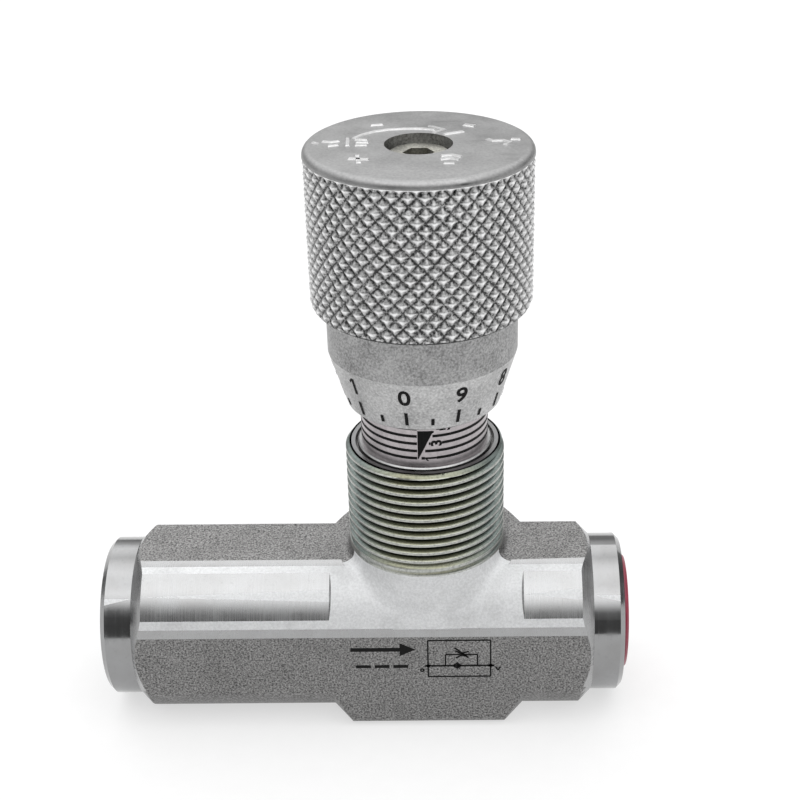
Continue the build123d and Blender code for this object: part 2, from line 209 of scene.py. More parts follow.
# ---------------------------------------------------------------- materials
def blasted_steel(name, dark, light, rough, grain=2600.0, depth=0.02, warmth=0.01, metallic=1.0):
    """Plated forging with a fine salt-and-pepper grain and broad cloudy tone."""
    s = Shader(name)
    grains = s.noise(grain, 3.0, 0.7)
    clouds = s.noise(160.0, 3.0)
    tone = s.ramp(grains, [(0.36, grey(dark, warmth)), (0.64, grey(light, warmth))])
    shade = s.spread(clouds, 0.88, 1.1, 0.3, 0.7)
    colour = s.tinted(tone, shade)
    scratch = s.scratches(140.0, 1600.0, 0.66)
    rough_map = s.spread(grains, rough - 0.08, rough + 0.1, 0.3, 0.7)
    rough_map = s.math("SUBTRACT", rough_map, s.math("MULTIPLY", scratch, 0.12), True)
    normal = s.bump(grains, depth)
    normal = s.bump(s.noise(700.0, 2.0), depth * 1.2, 0.7, normal)
    return s.finish(colour, metallic, rough_map, normal)


def turned_steel(name, value, rough, axis="X", depth=0.0009):
    """Bright turned zinc: fine tool lines round the axis, light wear and a few marks."""
    s = Shader(name)
    fine, coarse = (9000.0, 45.0, 45.0), (900.0, 20.0, 20.0)
    if axis == "Z":
        fine, coarse = fine[::-1], coarse[::-1]
    lines = s.noise(1.0, 2.0, 0.6, s.scaled(fine))
    broad = s.noise(1.0, 2.0, 0.5, s.scaled(coarse))
    clouds = s.noise(220.0, 4.0)
    tone = s.ramp(clouds, [(0.3, grey(value * 0.92)), (0.7, grey(value * 1.06, -0.01))])
    tone = s.mix(s.spread(s.noise(2200.0, 2.0), 0.0, 0.35, 0.6, 0.75), tone, grey(value * 0.7))
    rough_map = s.spread(lines, rough - 0.05, rough + 0.07, 0.3, 0.7)
    rough_map = s.math("ADD", rough_map, s.spread(clouds, -0.04, 0.05, 0.3, 0.7), True)
    normal = s.bump(lines, depth)
    normal = s.bump(broad, depth * 1.5, 0.6, normal)
    return s.finish(tone, 1.0, rough_map, normal)


def plain_metal(name, colour, rough, grain=1500.0, depth=0.004, metallic=1.0, swing=0.14):
    """A machined, hardened or anodised metal with grain, clouds and scratches."""
    s = Shader(name)
    grains = s.noise(grain, 3.0, 0.6)
    clouds = s.noise(180.0, 3.0)
    low = tuple((1 - swing) * c for c in colour)
    high = tuple((1 + swing) * c for c in colour)
    tone = s.ramp(s.math("ADD", s.math("MULTIPLY", grains, 0.6), s.math("MULTIPLY", clouds, 0.4)),
                  [(0.36, low), (0.64, high)])
    scratch = s.scratches(120.0, 1900.0)
    rough_map = s.spread(clouds, rough - 0.06, rough + 0.08, 0.3, 0.7)
    rough_map = s.math("SUBTRACT", rough_map, s.math("MULTIPLY", scratch, 0.1), True)
    normal = s.bump(grains, depth)
    return s.finish(tone, metallic, rough_map, normal)


def dull(name, colour, rough, grain=2200.0, depth=0.006, extra=None):
    """Rubber, plastic or ink: no metal, with a moulded or printed grain."""
    s = Shader(name)
    grains = s.noise(grain, 3.0, 0.6)
    clouds = s.noise(260.0, 3.0)
    tone = s.ramp(clouds, [(0.3, tuple(0.82 * c for c in colour)),
                           (0.7, tuple(1.12 * c for c in colour))])
    rough_map = s.spread(grains, rough - 0.07, rough + 0.07, 0.3, 0.7)
    return s.finish(tone, 0.0, rough_map, s.bump(grains, depth), extra)


FORGED = blasted_steel("forged_flats", 0.05, 0.375, 0.46, 3400.0, 0.03)
RAW = blasted_steel("raw_corner", 0.60, 0.74, 0.6, 2600.0, 0.012, -0.01, 0.35)
TURNED = turned_steel("turned_arms", 0.37, 0.24)
BOSS = turned_steel("turned_bosses", 0.30, 0.12)
NECK = turned_steel("turned_neck", 0.26, 0.3, "Z")
BORE = plain_metal("bored_steel", grey(0.2), 0.34)


def thread_steel():
    """Rolled thread: a painted highlight on the crests, dark flanks, painted shade in the roots and down
    the lower flanks, and an olive tint of passivation.
    """
    s = Shader("rolled_thread")
    y = s.split(s.place)[1]
    height = s.spread(s.axis_distance(), 0.0, 1.0, (NECK_R - THREAD_DEPTH) * MM, NECK_R * MM)
    clouds = s.noise(150.0, 3.0)
    # passivation: olive towards the front, greenish grey round the sides
    front = s.spread(s.math("ADD", y, s.math("MULTIPLY", clouds, 4 * MM)), 1.0, 0.0,
                     -11.0 * MM, -5.0 * MM)
    tint = s.ramp(front, [(0.0, (0.20, 0.235, 0.222)), (1.0, (0.25, 0.246, 0.172))])
    # painted highlight: the crests turn light grey by their height
    crest_highlight = s.spread(height, 0.0, 1.0, 0.86, 0.97)
    colour = s.mix(crest_highlight, tint, (0.46, 0.47, 0.445))
    # painted shade: the roots and the lower flanks fade to near black by their height
    colour = s.mix(s.spread(height, 1.0, 0.0, 0.06, 0.46), colour, grey(0.012))
    speckle = s.spread(s.noise(2600.0, 2.0), 0.72, 1.2, 0.35, 0.65)
    colour = s.tinted(colour, speckle)
    lines = s.noise(1.0, 2.0, 0.5, s.scaled((60.0, 60.0, 9000.0)))
    rough = s.spread(lines, 0.24, 0.38, 0.3, 0.7)
    return s.finish(colour, 1.0, rough, s.bump(lines, 0.002))


THREAD = thread_steel()
KNOB = plain_metal("knob_coat", grey(0.30), 0.42, 3000.0, 0.014, 1.0, 0.5)
KNOB_TOP_COAT = plain_metal("knob_top_coat", grey(0.32), 0.46, 2400.0, 0.004)
SCALE_BAND = plain_metal("scale_band", grey(0.47), 0.5, 2800.0, 0.012, 0.75, 0.36)
SLEEVE = plain_metal("sleeve_anodised", (0.42, 0.39, 0.40), 0.34, 1800.0, 0.003)
INK = dull("black_ink", grey(0.006), 0.6, extra={"Specular IOR Level": 0.12})


def knurl_metal():
    """The knob's coat over the knurl: lighter towards the tops, with painted shade that darkens the
    grooves.
    """
    s = Shader("knurl_coat")
    height = s.spread(s.axis_distance(), 0.0, 1.0, (KNURL_R - KNURL_DEPTH) * MM, KNURL_R * MM)
    grains = s.noise(2600.0, 3.0, 0.6)
    shade_by_height = s.math("ADD", height, s.spread(grains, -0.3, 0.3, 0.3, 0.7))
    # painted shade: near black in the grooves and lighter up to the tops, by height with a little grain
    colour = s.ramp(shade_by_height, [(0.04, grey(0.05)), (0.35, grey(0.43)), (0.75, grey(0.74)),
                           (0.95, grey(0.88))])
    rough = s.spread(grains, 0.3, 0.42, 0.3, 0.7)
    return s.finish(colour, 1.0, rough, s.bump(grains, 0.02))


KNURL = knurl_metal()

FINISHES = {
    "machined_steel": plain_metal("machined_steel", grey(0.36), 0.3),
    "hardened_steel": plain_metal("hardened_steel", (0.27, 0.275, 0.29), 0.24),
    "spring_steel": plain_metal("spring_steel", (0.3, 0.29, 0.28), 0.28, 900.0, 0.003),
    "plated_screw": plain_metal("plated_screw", (0.37, 0.365, 0.33), 0.42, 3000.0, 0.03, 1.0, 0.5),
    "sleeve_aluminium": SLEEVE,
    "seal_rubber": dull("seal_rubber", grey(0.02), 0.55),
    "backup_plastic": dull("backup_plastic", (0.75, 0.73, 0.66), 0.45),
    "red_plastic": dull("red_plastic", (0.25, 0.014, 0.04), 0.38),
}


# ---------------------------------------------------------------- mesh helpers
def new_piece(name, verts, faces, material, body):
    """A piece from points in millimetres, riding on a body."""
    mesh = bpy.data.meshes.new(name)
    mesh.from_pydata([(x * MM, y * MM, z * MM) for x, y, z in verts], [], faces)
    mesh.materials.append(material)
    obj = bpy.data.objects.new(name, mesh)
    bpy.context.scene.collection.objects.link(obj)
    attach(obj, body)
    return obj


def copy_node(node, name, finishes):
    """An own copy of a CAD node's mesh with its finishes, to rework in bmesh."""
    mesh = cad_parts[node].data.copy()
    mesh.name = name
    mesh.materials.clear()
    for material in finishes:
        mesh.materials.append(material)
    obj = bpy.data.objects.new(name, mesh)
    bpy.context.scene.collection.objects.link(obj)
    return obj


def grid_faces(rows, columns, start=0, wrap=False, flip=False):
    """Quads over rows x columns points, wrapped round the columns if asked."""
    faces = []
    last = columns if wrap else columns - 1
    for row in range(rows - 1):
        for column in range(last):
            after = (column + 1) % columns
            low = start + row * columns
            high = low + columns
            face = (low + column, low + after, high + after, high + column)
            faces.append(face[::-1] if flip else face)
    return faces


def radius_of(point):
    return hypot(point[0], point[1])


def circle(radius, z, count):
    """Points round the spindle's axis, from +X."""
    return [(radius * cos(2 * pi * k / count), radius * sin(2 * pi * k / count), z) for k in range(count)]


# ---------------------------------------------------------------- body with its thread
THREAD_PITCH = 1.5
THREAD_PROFILE = [       # share of the pitch, share of the depth
    (0.0, 1.0),
    (0.1, 1.0),
    (0.13, 0.96),
    (0.28, 0.52),
    (0.44, 0.05),
    (0.5, 0.0),
    (0.56, 0.05),
    (0.72, 0.52),
    (0.87, 0.96),
    (0.9, 1.0),
]
RUNOUT = 2.4             # the thread fades out over this height
PLAIN_ROOT = 0.15        # above a short plain stretch
COLUMNS = 200

# finishes of the body, in the order of its material slots
BODY_FINISHES = (FORGED, RAW, TURNED, NECK, BORE, THREAD, BOSS)
FLATS, RAW_SIDE, ARMS, NECK_END, BORES, THREADS, BOSSES = range(7)


def thread_radius(share, z):
    """Radius of the neck at a share of the thread's depth and a height."""
    fade = min(1.0, max(0.0, (z - ROOT_TOP - PLAIN_ROOT) / RUNOUT))
    radius = NECK_R - THREAD_DEPTH * (1.0 - share) * fade
    chamfer = NECK_R - (z - (NECK_TOP - NECK_EDGE))
    return min(radius, chamfer)


def thread_points():
    """Rows of points that follow the helix, held between the root and the top of the neck."""
    rows = []
    turns = int((NECK_TOP - ROOT_TOP) / THREAD_PITCH) + 3
    for turn in range(-1, turns):
        for offset, share in THREAD_PROFILE:
            row = []
            for column in range(COLUMNS + 1):
                angle = 2 * pi * column / COLUMNS
                z = ROOT_TOP + (turn + offset + column / COLUMNS - 1) * THREAD_PITCH
                z = min(max(z, ROOT_TOP), NECK_TOP)
                radius = thread_radius(share, z)
                row.append((radius * cos(angle), radius * sin(angle), z))
            rows.append(row)
    rows.append([(COUNTERBORE_R * x / radius_of((x, y)), COUNTERBORE_R * y / radius_of((x, y)), z)
                 for x, y, z in rows[-1]])
    return rows


def hub_height(y):
    """Height of the hub's upper surface at y: flat, raw corner in front, small corner behind."""
    raw = HALF_FLAT - RAW_CORNER
    small = HALF_FLAT - CORNER
    if y < -raw:
        return PORT_Z + raw + sqrt(max(0.0, RAW_CORNER ** 2 - (y + raw) ** 2))
    if y > small:
        return PORT_Z + small + sqrt(max(0.0, CORNER ** 2 - (y - small) ** 2))
    return PORT_Z + HALF_FLAT


FILLET_SPREAD = 2.0      # how far the root fillet spreads over the hub
FILLET_CLIMB = 1.4       # how far it climbs the neck at the sides and back
FRONT_CLIMB = 2.4        # and how much further at the front
FLAT_MARGIN = 0.12       # it stops this far short of the hub's front and back
CLEAR_OUT, CLEAR_UP = 0.015, 0.01    # it stands this far off what it covers


def root_points(steps=10):
    """Rows of points of the hollow fillet between the neck and the hub."""
    foot = [(NECK_R * cos(2 * pi * column / COLUMNS), NECK_R * sin(2 * pi * column / COLUMNS),
             ROOT_TOP) for column in range(COLUMNS + 1)]
    rows = [foot]
    for step in range(steps + 1):
        t = step / steps
        row = []
        for column in range(COLUMNS + 1):
            angle = 2 * pi * column / COLUMNS
            lean = sin(angle)
            reach = NECK_R + FILLET_SPREAD
            if abs(lean) > 0.8:
                reach = min(reach, (HALF_FLAT - FLAT_MARGIN) / abs(lean))
            low = hub_height(NECK_R * lean)
            top = min(low + FILLET_CLIMB + FRONT_CLIMB * max(0.0, -lean) ** 2, ROOT_TOP - 0.02)
            end = hub_height(reach * lean)
            radius = (1 - t) ** 2 * NECK_R + 2 * t * (1 - t) * NECK_R + t * t * reach
            z = (1 - t) ** 2 * top + 2 * t * (1 - t) * low + t * t * end
            radius += CLEAR_OUT
            row.append((radius * cos(angle), radius * sin(angle), z + CLEAR_UP))
        rows.append(row)
    return rows


def make_body():
    """The body, with the neck's thread and root fillet in place of the plain neck."""
    obj = copy_node("body", "valve_housing", BODY_FINISHES)
    mesh = obj.data
    b = bmesh.new()
    b.from_mesh(mesh)
    for point, normal in (((0, 0, ROOT_TOP), (0, 0, 1)), ((0, 0, PORT_Z + CREASE), (0, 0, 1)),
                          ((0, -CREASE, 0), (0, 1, 0))):
        bmesh.ops.bisect_plane(b, geom=b.verts[:] + b.edges[:] + b.faces[:], dist=1e-7,
                               plane_co=Vector(point) * MM, plane_no=normal)
    neck = []
    for face in b.faces:
        points = [v.co / MM for v in face.verts]
        radii = [radius_of(p) for p in points]
        outside = min(radii) > COUNTERBORE_R - NEAR and max(radii) > COUNTERBORE_R + NEAR
        if min(p.z for p in points) > ROOT_TOP - 0.01 and outside:
            neck.append(face)
    bmesh.ops.delete(b, geom=neck, context="FACES")
    for face in b.faces:
        face.material_index = body_zone(face)
        face.smooth = True
    rows = thread_points()
    made = [[b.verts.new((x * MM, y * MM, z * MM)) for x, y, z in row] for row in rows]
    for low, high in zip(made, made[1:]):
        for column in range(COLUMNS):
            quad = (low[column], low[column + 1], high[column + 1], high[column])
            face = b.faces.new(quad)
            on_top = low[column].co.z > (NECK_TOP - 0.02) * MM
            face.material_index = NECK_END if on_top else THREADS
            face.smooth = True
    fillet = [[b.verts.new((x * MM, y * MM, z * MM)) for x, y, z in row] for row in root_points()]
    for high, low in zip(fillet, fillet[1:]):
        for column in range(COLUMNS):
            quad = (low[column], low[column + 1], high[column + 1], high[column])
            face = b.faces.new(quad)
            front = -(NECK_R + 1.0) * sin(2 * pi * (column + 0.5) / COLUMNS)
            face.material_index = RAW_SIDE if front > FILLET_FRONT else FLATS
            face.smooth = True
    made += fillet
    bmesh.ops.remove_doubles(b, verts=[v for row in made for v in row], dist=0.002 * MM)
    bmesh.ops.dissolve_degenerate(b, dist=0.001 * MM, edges=b.edges)
    b.to_mesh(mesh)
    b.free()
    mesh.set_sharp_from_angle(angle=radians(28))
    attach(obj, "valve_body")
    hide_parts("body")


NEAR = 0.05              # this close counts as on a surface
FLAT_TURN = 0.9995       # a normal this close to an axis belongs to a flat
FACING = 0.9             # and this close, to a face that looks along it
SIDEWAYS = 0.1           # below this a face does not look along it at all
FILLET_FRONT = CREASE - 1.2          # the root fillet is raw in front of this
PORT_REACH = 8.2         # the port bores lie within this distance of the port axis
STEP_REACH = 7.6         # the steps between them within this one
STEP_X = 45.0            # and within this distance of the spindle
CHAMBER_R = 11.0         # the bores along the spindle lie within this radius
CHAMBER_REACH = 12.6     # and within this distance of the port axis
NECK_END_DEPTH = 1.2     # the neck's turned end reaches this far down


def body_zone(face):
    """Finish of a face: flats, raw corner, turned arms, neck, bore or boss."""
    centre = face.calc_center_median() / MM
    normal = face.normal
    reach = hypot(centre.y, centre.z - PORT_Z)
    flat = max(abs(normal.y), abs(normal.z)) > FLAT_TURN
    on_flat = max(abs(centre.y), abs(centre.z - PORT_Z)) > HALF_FLAT - NEAR
    if flat and on_flat and centre.z < PORT_Z + HALF_FLAT + NEAR:
        return FLATS
    raw = HALF_FLAT - RAW_CORNER
    out, up = -centre.y - raw, centre.z - PORT_Z - raw
    if min(out, up) + raw > CREASE and abs(normal.x) < SIDEWAYS:
        along_raw = (up * normal.z - out * normal.y) / hypot(out, up)
        along_turned = ((centre.z - PORT_Z) * normal.z + centre.y * normal.y) / reach
        if along_raw > along_turned:
            return RAW_SIDE
    if flat and abs(centre.x) < HUB_HALF and radius_of(centre) < NECK_R + 3:
        return FLATS
    if radius_of(centre) < NECK_R + 0.5 and centre.z > NECK_TOP - NECK_END_DEPTH:
        return NECK_END
    inward = normal.y * centre.y + normal.z * (centre.z - PORT_Z) < -0.1 * max(reach, 0.1)
    across = abs(normal.x) > FACING
    if reach < PORT_REACH and (inward or across and abs(centre.x) < STEP_X and reach < STEP_REACH):
        return BORES
    if radius_of(centre) < CHAMBER_R and reach < CHAMBER_REACH:
        return BORES
    if reach < TURNED_R - 1.8 or across:
        return BOSSES
    # painted shade: the lower turned corners of the arms take the dark forged finish, so they are darker
    # underneath
    if centre.z < PORT_Z - HALF_FLAT * 0.45 and reach > TURNED_R - 0.6:
        return FLATS
    if abs(centre.x) < HUB_HALF + NEAR and abs(normal.x) < SIDEWAYS and reach > TURNED_R + 0.02:
        return FLATS
    return ARMS


# ---------------------------------------------------------------- knob
KNURLS = 44
KNURL_ROWS = 9.5
KNURL_STEPS = 8          # grid steps per diamond
KNURL_FADE = 0.35        # it runs out over this height at the rim
GRUB_MARGIN = 0.3        # and stops this far from the locking screw's hole
KNURL_FLAT = 0.9         # pyramid tops are cut off at this share of the height
KNURL_START = KNURL_Z + 0.1
KNURL_STOP = KNOB_TOP - RIM_ROUND - 0.1


def knurl_height(u, v):
    """0 in the grooves to 1 on the cut-off tops of the pyramids."""
    a = (u + v) % 1.0
    b = (u - v) % 1.0
    return min(1.0, (1.0 - 2.0 * max(abs(a - 0.5), abs(b - 0.5))) / KNURL_FLAT)


def from_grub(x, y, z):
    """Distance from the axis of the locking screw, which runs along +Y."""
    return hypot(x, z - GRUB_Z) if y > 0 else 2 * KNURL_R


def clear_grub(x, y, z):
    """Move a point inside the locking screw's hole out to its edge."""
    reach = from_grub(x, y, z)
    if reach >= GRUB_R:
        return x, y, z
    share = GRUB_R / max(reach, 0.001)
    x, z = x * share, GRUB_Z + (z - GRUB_Z) * share
    return x, sqrt(KNURL_R ** 2 - x * x), z


def knurl_grid():
    """Rows of points over the knurled band, between the bottom chamfer and the smooth rim."""
    steps = int(KNURL_ROWS * KNURL_STEPS)
    columns = KNURLS * KNURL_STEPS
    rows = []
    for row in range(steps + 1):
        v = row / KNURL_STEPS
        z = KNURL_START + (KNURL_STOP - KNURL_START) * row / steps
        edge = min(1.0, (KNURL_STOP - z) / KNURL_FADE)
        line = []
        for column in range(columns):
            angle = 2 * pi * column / columns
            cut = KNURL_DEPTH * (1.0 - knurl_height(column / KNURL_STEPS, v)) * edge
            radius = min(KNURL_R - cut, KNURL_R - KNOB_EDGE + (z - KNURL_Z))
            if from_grub(KNURL_R * cos(angle), sin(angle), z) < GRUB_R + GRUB_MARGIN:
                radius = KNURL_R
            line.append((radius * cos(angle), radius * sin(angle), z))
        rows.append(line)
    return rows


# finishes of the knob, in the order of its material slots
KNOB_FINISHES = (KNOB, SCALE_BAND, KNURL, KNOB_TOP_COAT)
COAT, BAND, KNURLED, TOP = range(4)


def make_knob():
    """The knob, with the knurl and a rounded rim in place of its plain side and top."""
    obj = copy_node("knob", "dial_knob", KNOB_FINISHES)
    mesh = obj.data
    b = bmesh.new()
    b.from_mesh(mesh)
    side = []
    for face in b.faces:
        points = [v.co / MM for v in face.verts]
        if min(radius_of(p) for p in points) > KNURL_R - KNOB_EDGE - 0.01:
            if min(p.z for p in points) > KNURL_Z - 0.01 and abs(face.normal.z) < 0.95:
                side.append(face)
        if min(p.z for p in points) > KNOB_TOP - 0.01:
            side.append(face)
    bmesh.ops.delete(b, geom=side, context="FACES")
    for face in b.faces:
        centre = face.calc_center_median() / MM
        on_cone = centre.z < CONE_TOP and radius_of(centre) > RIM_R - 0.3 and face.normal.z > -0.95
        face.material_index = BAND if on_cone else COAT
        face.smooth = True
    rows = knurl_grid()
    columns = len(rows[0])
    foot = [((KNURL_R - KNOB_EDGE) * x / radius_of((x, y)),
             (KNURL_R - KNOB_EDGE) * y / radius_of((x, y)), KNURL_Z) for x, y, z in rows[0]]
    rows.insert(0, foot)
    for share in RIM_STEPS:
        radius = KNURL_R - RIM_ROUND * (1 - cos(share * pi / 2))
        drop = RIM_ROUND * (1 - sin(share * pi / 2))
        rows.append(circle(radius, KNOB_TOP - drop, columns))
    rows.append(circle(RECESS_R, KNOB_TOP, columns))
    rim_rows = len(RIM_STEPS) + 2
    made = [[b.verts.new(Vector(clear_grub(*p)) * MM) for p in row] for row in rows]
    for row, (low, high) in enumerate(zip(made, made[1:])):
        for column in range(columns):
            after = (column + 1) % columns
            corners = (rows[row][column], rows[row][after], rows[row + 1][after],
                       rows[row + 1][column])
            if max(from_grub(*p) for p in corners) < GRUB_R:
                continue
            quad = [low[column], low[after], high[after], high[column]]
            # each small square is split along its groove
            if 0 < row < len(made) - rim_rows:
                if knurl_slope(column, row - 1) > 0:
                    parts = (quad[:3], [quad[0], quad[2], quad[3]])
                else:
                    parts = ([quad[0], quad[1], quad[3]], quad[1:])
                for part in parts:
                    face = b.faces.new(part)
                    face.material_index = KNURLED
            else:
                face = b.faces.new(quad)
                face.material_index = KNURLED if row == 0 else TOP
                face.smooth = True
    b.to_mesh(mesh)
    b.free()
    mesh.set_sharp_from_angle(angle=radians(25))
    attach(obj, "knob_set")
    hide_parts("knob")


def knurl_slope(column, row):
    """Positive where the nearest groove rises with the column."""
    u = (column + 0.5) / KNURL_STEPS
    v = (row + 0.5) / KNURL_STEPS
    a = abs((u + v) % 1.0 - 0.5)
    b = abs((u - v) % 1.0 - 0.5)
    return b - a


# ---------------------------------------------------------------- printed marks
def wrap(points, centre, z_of, radius_of_z, lean=0.0):
    """Lay flat points (right, up, out) round the spindle: the front is -Y, right is +X."""
    laid = []
    for right, up, out in points:
        z = z_of + up * cos(lean)
        radius = radius_of_z(z)
        angle = centre + right / radius
        radius += out * cos(lean)
        laid.append((radius * sin(angle), -radius * cos(angle), z - out * sin(lean)))
    return laid


def cone_radius(z):
    return RIM_R + (SKIRT_R - RIM_R) * (z - RIM_Z) / (CONE_TOP - RIM_Z)


CONE_LEAN = atan2(SKIRT_R - RIM_R, CONE_TOP - RIM_Z)


def figure_one(height, turn, stroke):
    """A plain 1 with a flag, as a stem and a slanted bar."""
    half = height / 2
    parts = [
        bar(-stroke / 2, -half, stroke / 2, half, (1, 6)),
        poly([(-stroke / 2, half), (-stroke / 2, half - stroke),
              (-0.27 * height, half - 0.36 * height), (-0.27 * height, half - 0.2 * height)]),
    ]
    spin = Matrix.Rotation(turn, 3, "Z")
    points, faces = [], []
    for part_points, part_faces in parts:
        start = len(points)
        points += [tuple(spin @ Vector(p)) for p in part_points]
        faces += [tuple(start + i for i in face) for face in part_faces]
    return points, faces


FONT_SIZE = 1.4          # font size over the height of its figures, before they are scaled to fit
LONGEST_EDGE = 0.35      # figures are divided down to this, so that they wrap


def text_mesh(text, height, turn=0.0, bold=0.07):
    """Points and faces of a figure in millimetres, centred, PRINT thick and finely divided."""
    if text == "1":
        return figure_one(height, turn, height * 0.17)
    curve = bpy.data.curves.new("figure", "FONT")
    curve.body = text
    curve.size = height * FONT_SIZE
    curve.extrude = PRINT / 2
    curve.offset = bold
    curve.resolution_u = 4
    holder = bpy.data.objects.new("figure", curve)
    bpy.context.scene.collection.objects.link(holder)
    graph = bpy.context.evaluated_depsgraph_get()
    mesh = bpy.data.meshes.new_from_object(holder.evaluated_get(graph))
    bpy.data.objects.remove(holder)
    b = bmesh.new()
    b.from_mesh(mesh)
    bpy.data.meshes.remove(mesh)
    bmesh.ops.remove_doubles(b, verts=b.verts, dist=1e-4)
    bmesh.ops.triangulate(b, faces=b.faces)
    for _ in range(3):
        long = [e for e in b.edges if e.calc_length() > LONGEST_EDGE]
        if long:
            bmesh.ops.subdivide_edges(b, edges=long, cuts=1)
            bmesh.ops.triangulate(b, faces=b.faces)
    xs = [v.co.x for v in b.verts]
    ys = [v.co.y for v in b.verts]
    mid = Vector(((min(xs) + max(xs)) / 2, (min(ys) + max(ys)) / 2, 0.0))
    scale = height / (max(ys) - min(ys))
    spin = Matrix.Rotation(turn, 3, "Z")
    points = []
    for vert in b.verts:
        flat = (vert.co - mid) * scale
        flat.z = vert.co.z + PRINT / 2
        points.append(tuple(spin @ flat))
    b.verts.index_update()
    faces = [tuple(v.index for v in face.verts) for face in b.faces]
    b.free()
    return points, faces


def bar(x0, y0, x1, y1, steps=(1, 1)):
    """A flat block from one corner to the other, PRINT thick, divided for wrapping."""
    columns, rows = steps[0] + 1, steps[1] + 1
    points = []
    for out in (0.0, PRINT):
        for row in range(rows):
            for column in range(columns):
                points.append((x0 + (x1 - x0) * column / steps[0],
                               y0 + (y1 - y0) * row / steps[1], out))
    layer = columns * rows
    faces = grid_faces(rows, columns, flip=True) + grid_faces(rows, columns, layer)
    rim = list(range(columns))
    rim += [row * columns + columns - 1 for row in range(1, rows)]
    rim += [(rows - 1) * columns + column for column in range(columns - 2, -1, -1)]
    rim += [row * columns for row in range(rows - 2, 0, -1)]
    for here, after in zip(rim, rim[1:] + rim[:1]):
        faces.append((here, after, after + layer, here + layer))
    return points, faces


def poly(outline):
    """A flat convex block with the given outline, PRINT thick."""
    count = len(outline)
    points = [(x, y, 0.0) for x, y in outline] + [(x, y, PRINT) for x, y in outline]
    faces = [tuple(range(count - 1, -1, -1)), tuple(range(count, 2 * count))]
    for here in range(count):
        after = (here + 1) % count
        faces.append((here, after, after + count, here + count))
    return points, faces


def sliced(columns, steps):
    """A flat block between a lower and an upper line, given as (x, low, high), PRINT thick."""
    stops = []
    for (x0, low0, high0), (x1, low1, high1) in zip(columns, columns[1:]):
        for step in range(steps):
            t = step / steps
            stops.append((x0 + (x1 - x0) * t, low0 + (low1 - low0) * t, high0 + (high1 - high0) * t))
    stops.append(columns[-1])
    points = []
    for x, low, high in stops:
        points += [(x, low, 0.0), (x, high, 0.0), (x, high, PRINT), (x, low, PRINT)]
    faces = grid_faces(len(stops), 4, wrap=True)
    last = 4 * (len(stops) - 1)
    faces += [(0, 1, 2, 3), (last + 3, last + 2, last + 1, last)]
    return points, faces


class Marks:
    """Gathers printed marks into one piece."""

    def __init__(self):
        self.verts = []
        self.faces = []

    def add(self, points, faces):
        start = len(self.verts)
        self.verts += points
        self.faces += [tuple(start + i for i in face) for face in faces]

    def piece(self, name, body, material):
        return new_piece(name, self.verts, self.faces, material, body)


DIAL_ZERO = -10.7        # degrees to the right of the front
DIGIT_HEIGHT = 2.95
DIGIT_Z = PORT_Z + 47.2
TICK_WIDTH = 0.5
LONG_TICK = (PORT_Z + 41.95, PORT_Z + 44.3)
SHORT_TICK = (PORT_Z + 42.0, PORT_Z + 43.2)


def make_dial():
    """Digits 0 to 9 round the cone, counting up to the left, with long and short ticks."""
    marks = Marks()
    for number in range(10):
        angle = radians(DIAL_ZERO - 36 * number)
        points, faces = text_mesh(str(number), DIGIT_HEIGHT)
        marks.add(wrap(points, angle, DIGIT_Z, cone_radius, CONE_LEAN), faces)
        for turn, (low, high) in ((angle, LONG_TICK), (angle + radians(18), SHORT_TICK)):
            points, faces = bar(-TICK_WIDTH / 2, 0.0, TICK_WIDTH / 2,
                                (high - low) / cos(CONE_LEAN))
            marks.add(wrap(points, turn, low, cone_radius, CONE_LEAN), faces)
    return marks.piece("dial_marks", "knob_set", INK)


RING_WIDTH = 0.44
FIRST_RING = 48.65       # height of the lowest scale ring
RINGS = 10
INDEX_ANGLE = radians(-5.0)
INDEX_TIP = FIRST_RING - 0.1
# index triangle: distance to the right of its upright edge, low and high over its tip
INDEX_TRIANGLE = ((0.0, 0.0, 4.75), (0.12, 0.0, 4.75), (2.2, 4.3, 4.75), (2.5, 4.5, 4.7))
INDEX_RINGS = 5          # rings that start at the triangle's slanted edge
SCALE_FIGURES = {1: 6.5, 3: 11.5, 5: 19.5}       # ring and angle of each figure, in degrees
FIGURE_GAP = 0.09        # half the gap in a ring for its figure, in radians
FIGURE_HEIGHT = 1.75
FIGURE_BOLD = 0.09
RING_START, RING_END = radians(4.0), radians(0.5)    # how far the rings keep off the index
EDGE_START, EDGE_RISE = 0.55, 2.3    # distance of the first ring beside the triangle, and its growth
SHORTEST_ARC = 0.02


